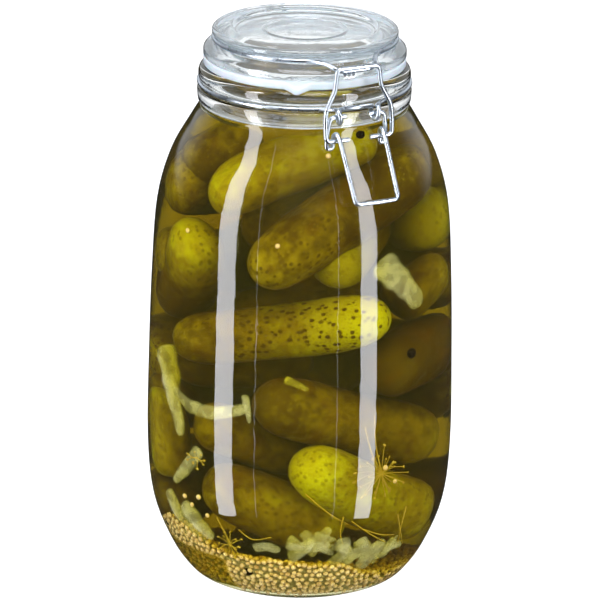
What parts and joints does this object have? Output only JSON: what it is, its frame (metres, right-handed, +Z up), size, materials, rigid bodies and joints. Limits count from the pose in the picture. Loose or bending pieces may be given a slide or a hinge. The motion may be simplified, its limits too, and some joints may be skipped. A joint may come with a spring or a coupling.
{
  "type": "canning jar of pickled gherkins",
  "caption": "Tall round-shouldered clear glass preserving jar with a hinged glass lid, rubber ring and wire clamp, packed with gherkins in brine over mustard seed.",
  "frame": {"origin": "centre of the flat underside, on the jar's axis, where it stands", "axes": "+Z up along the jar's axis, -Y towards the wire clasp, +Y towards the lid's hinge, +X to the right seen from the clasp side"},
  "size_m": [0.143, 0.1468, 0.265],
  "materials": {
    "glass": "clear soda-lime glass, polished",
    "gasket_rubber": "translucent whitish rubber, satin",
    "zinc_plated_wire": "bright zinc-plated round wire",
    "gherkin_skin": "olive-green pickled gherkin skin with dark specks and warts, wet",
    "mustard_seed": "pale tan mustard seed",
    "onion": "translucent pickled onion slices, wet",
    "dill": "dried dill stalks and umbel",
    "peppercorn": "wrinkled black peppercorn",
    "brine": "clear yellow-green brine"
  },
  "bodies": {
    "jar": {"jar_glass": "glass", "neck_wire": "zinc_plated_wire", "pickle_heap": "gherkin_skin", "mustard_seeds": "mustard_seed"},
    "lid": {"lid_glass": "glass", "gasket": "gasket_rubber", "lid_wire": "zinc_plated_wire"},
    "lever_arm": {"lever": "zinc_plated_wire"},
    "clamp": {"clamp_loop": "zinc_plated_wire"}
  },
  "joints": [
    {"name": "lid_hinge", "type": "hinge", "parent": "jar", "child": "lid", "pos_m": [0, 0.0545, 0.2465], "axis": [-1, 0, 0], "range_deg": [0, 95]},
    {"name": "lever_swing", "type": "hinge", "parent": "jar", "child": "lever_arm", "pos_m": [0, -0.0526, 0.2366], "axis": [-1, 0, 0], "range_deg": [0, 60]},
    {"name": "clamp_swing", "type": "hinge", "parent": "lever_arm", "child": "clamp", "pos_m": [0, -0.0553, 0.2263], "axis": [1, 0, 0], "range_deg": [0, 135]}
  ],
  "couplings": [
    {"joint": "lever_swing", "follows": "lid_hinge", "ratio": 0.63},
    {"joint": "clamp_swing", "follows": "lid_hinge", "ratio": 1.42}
  ]
}
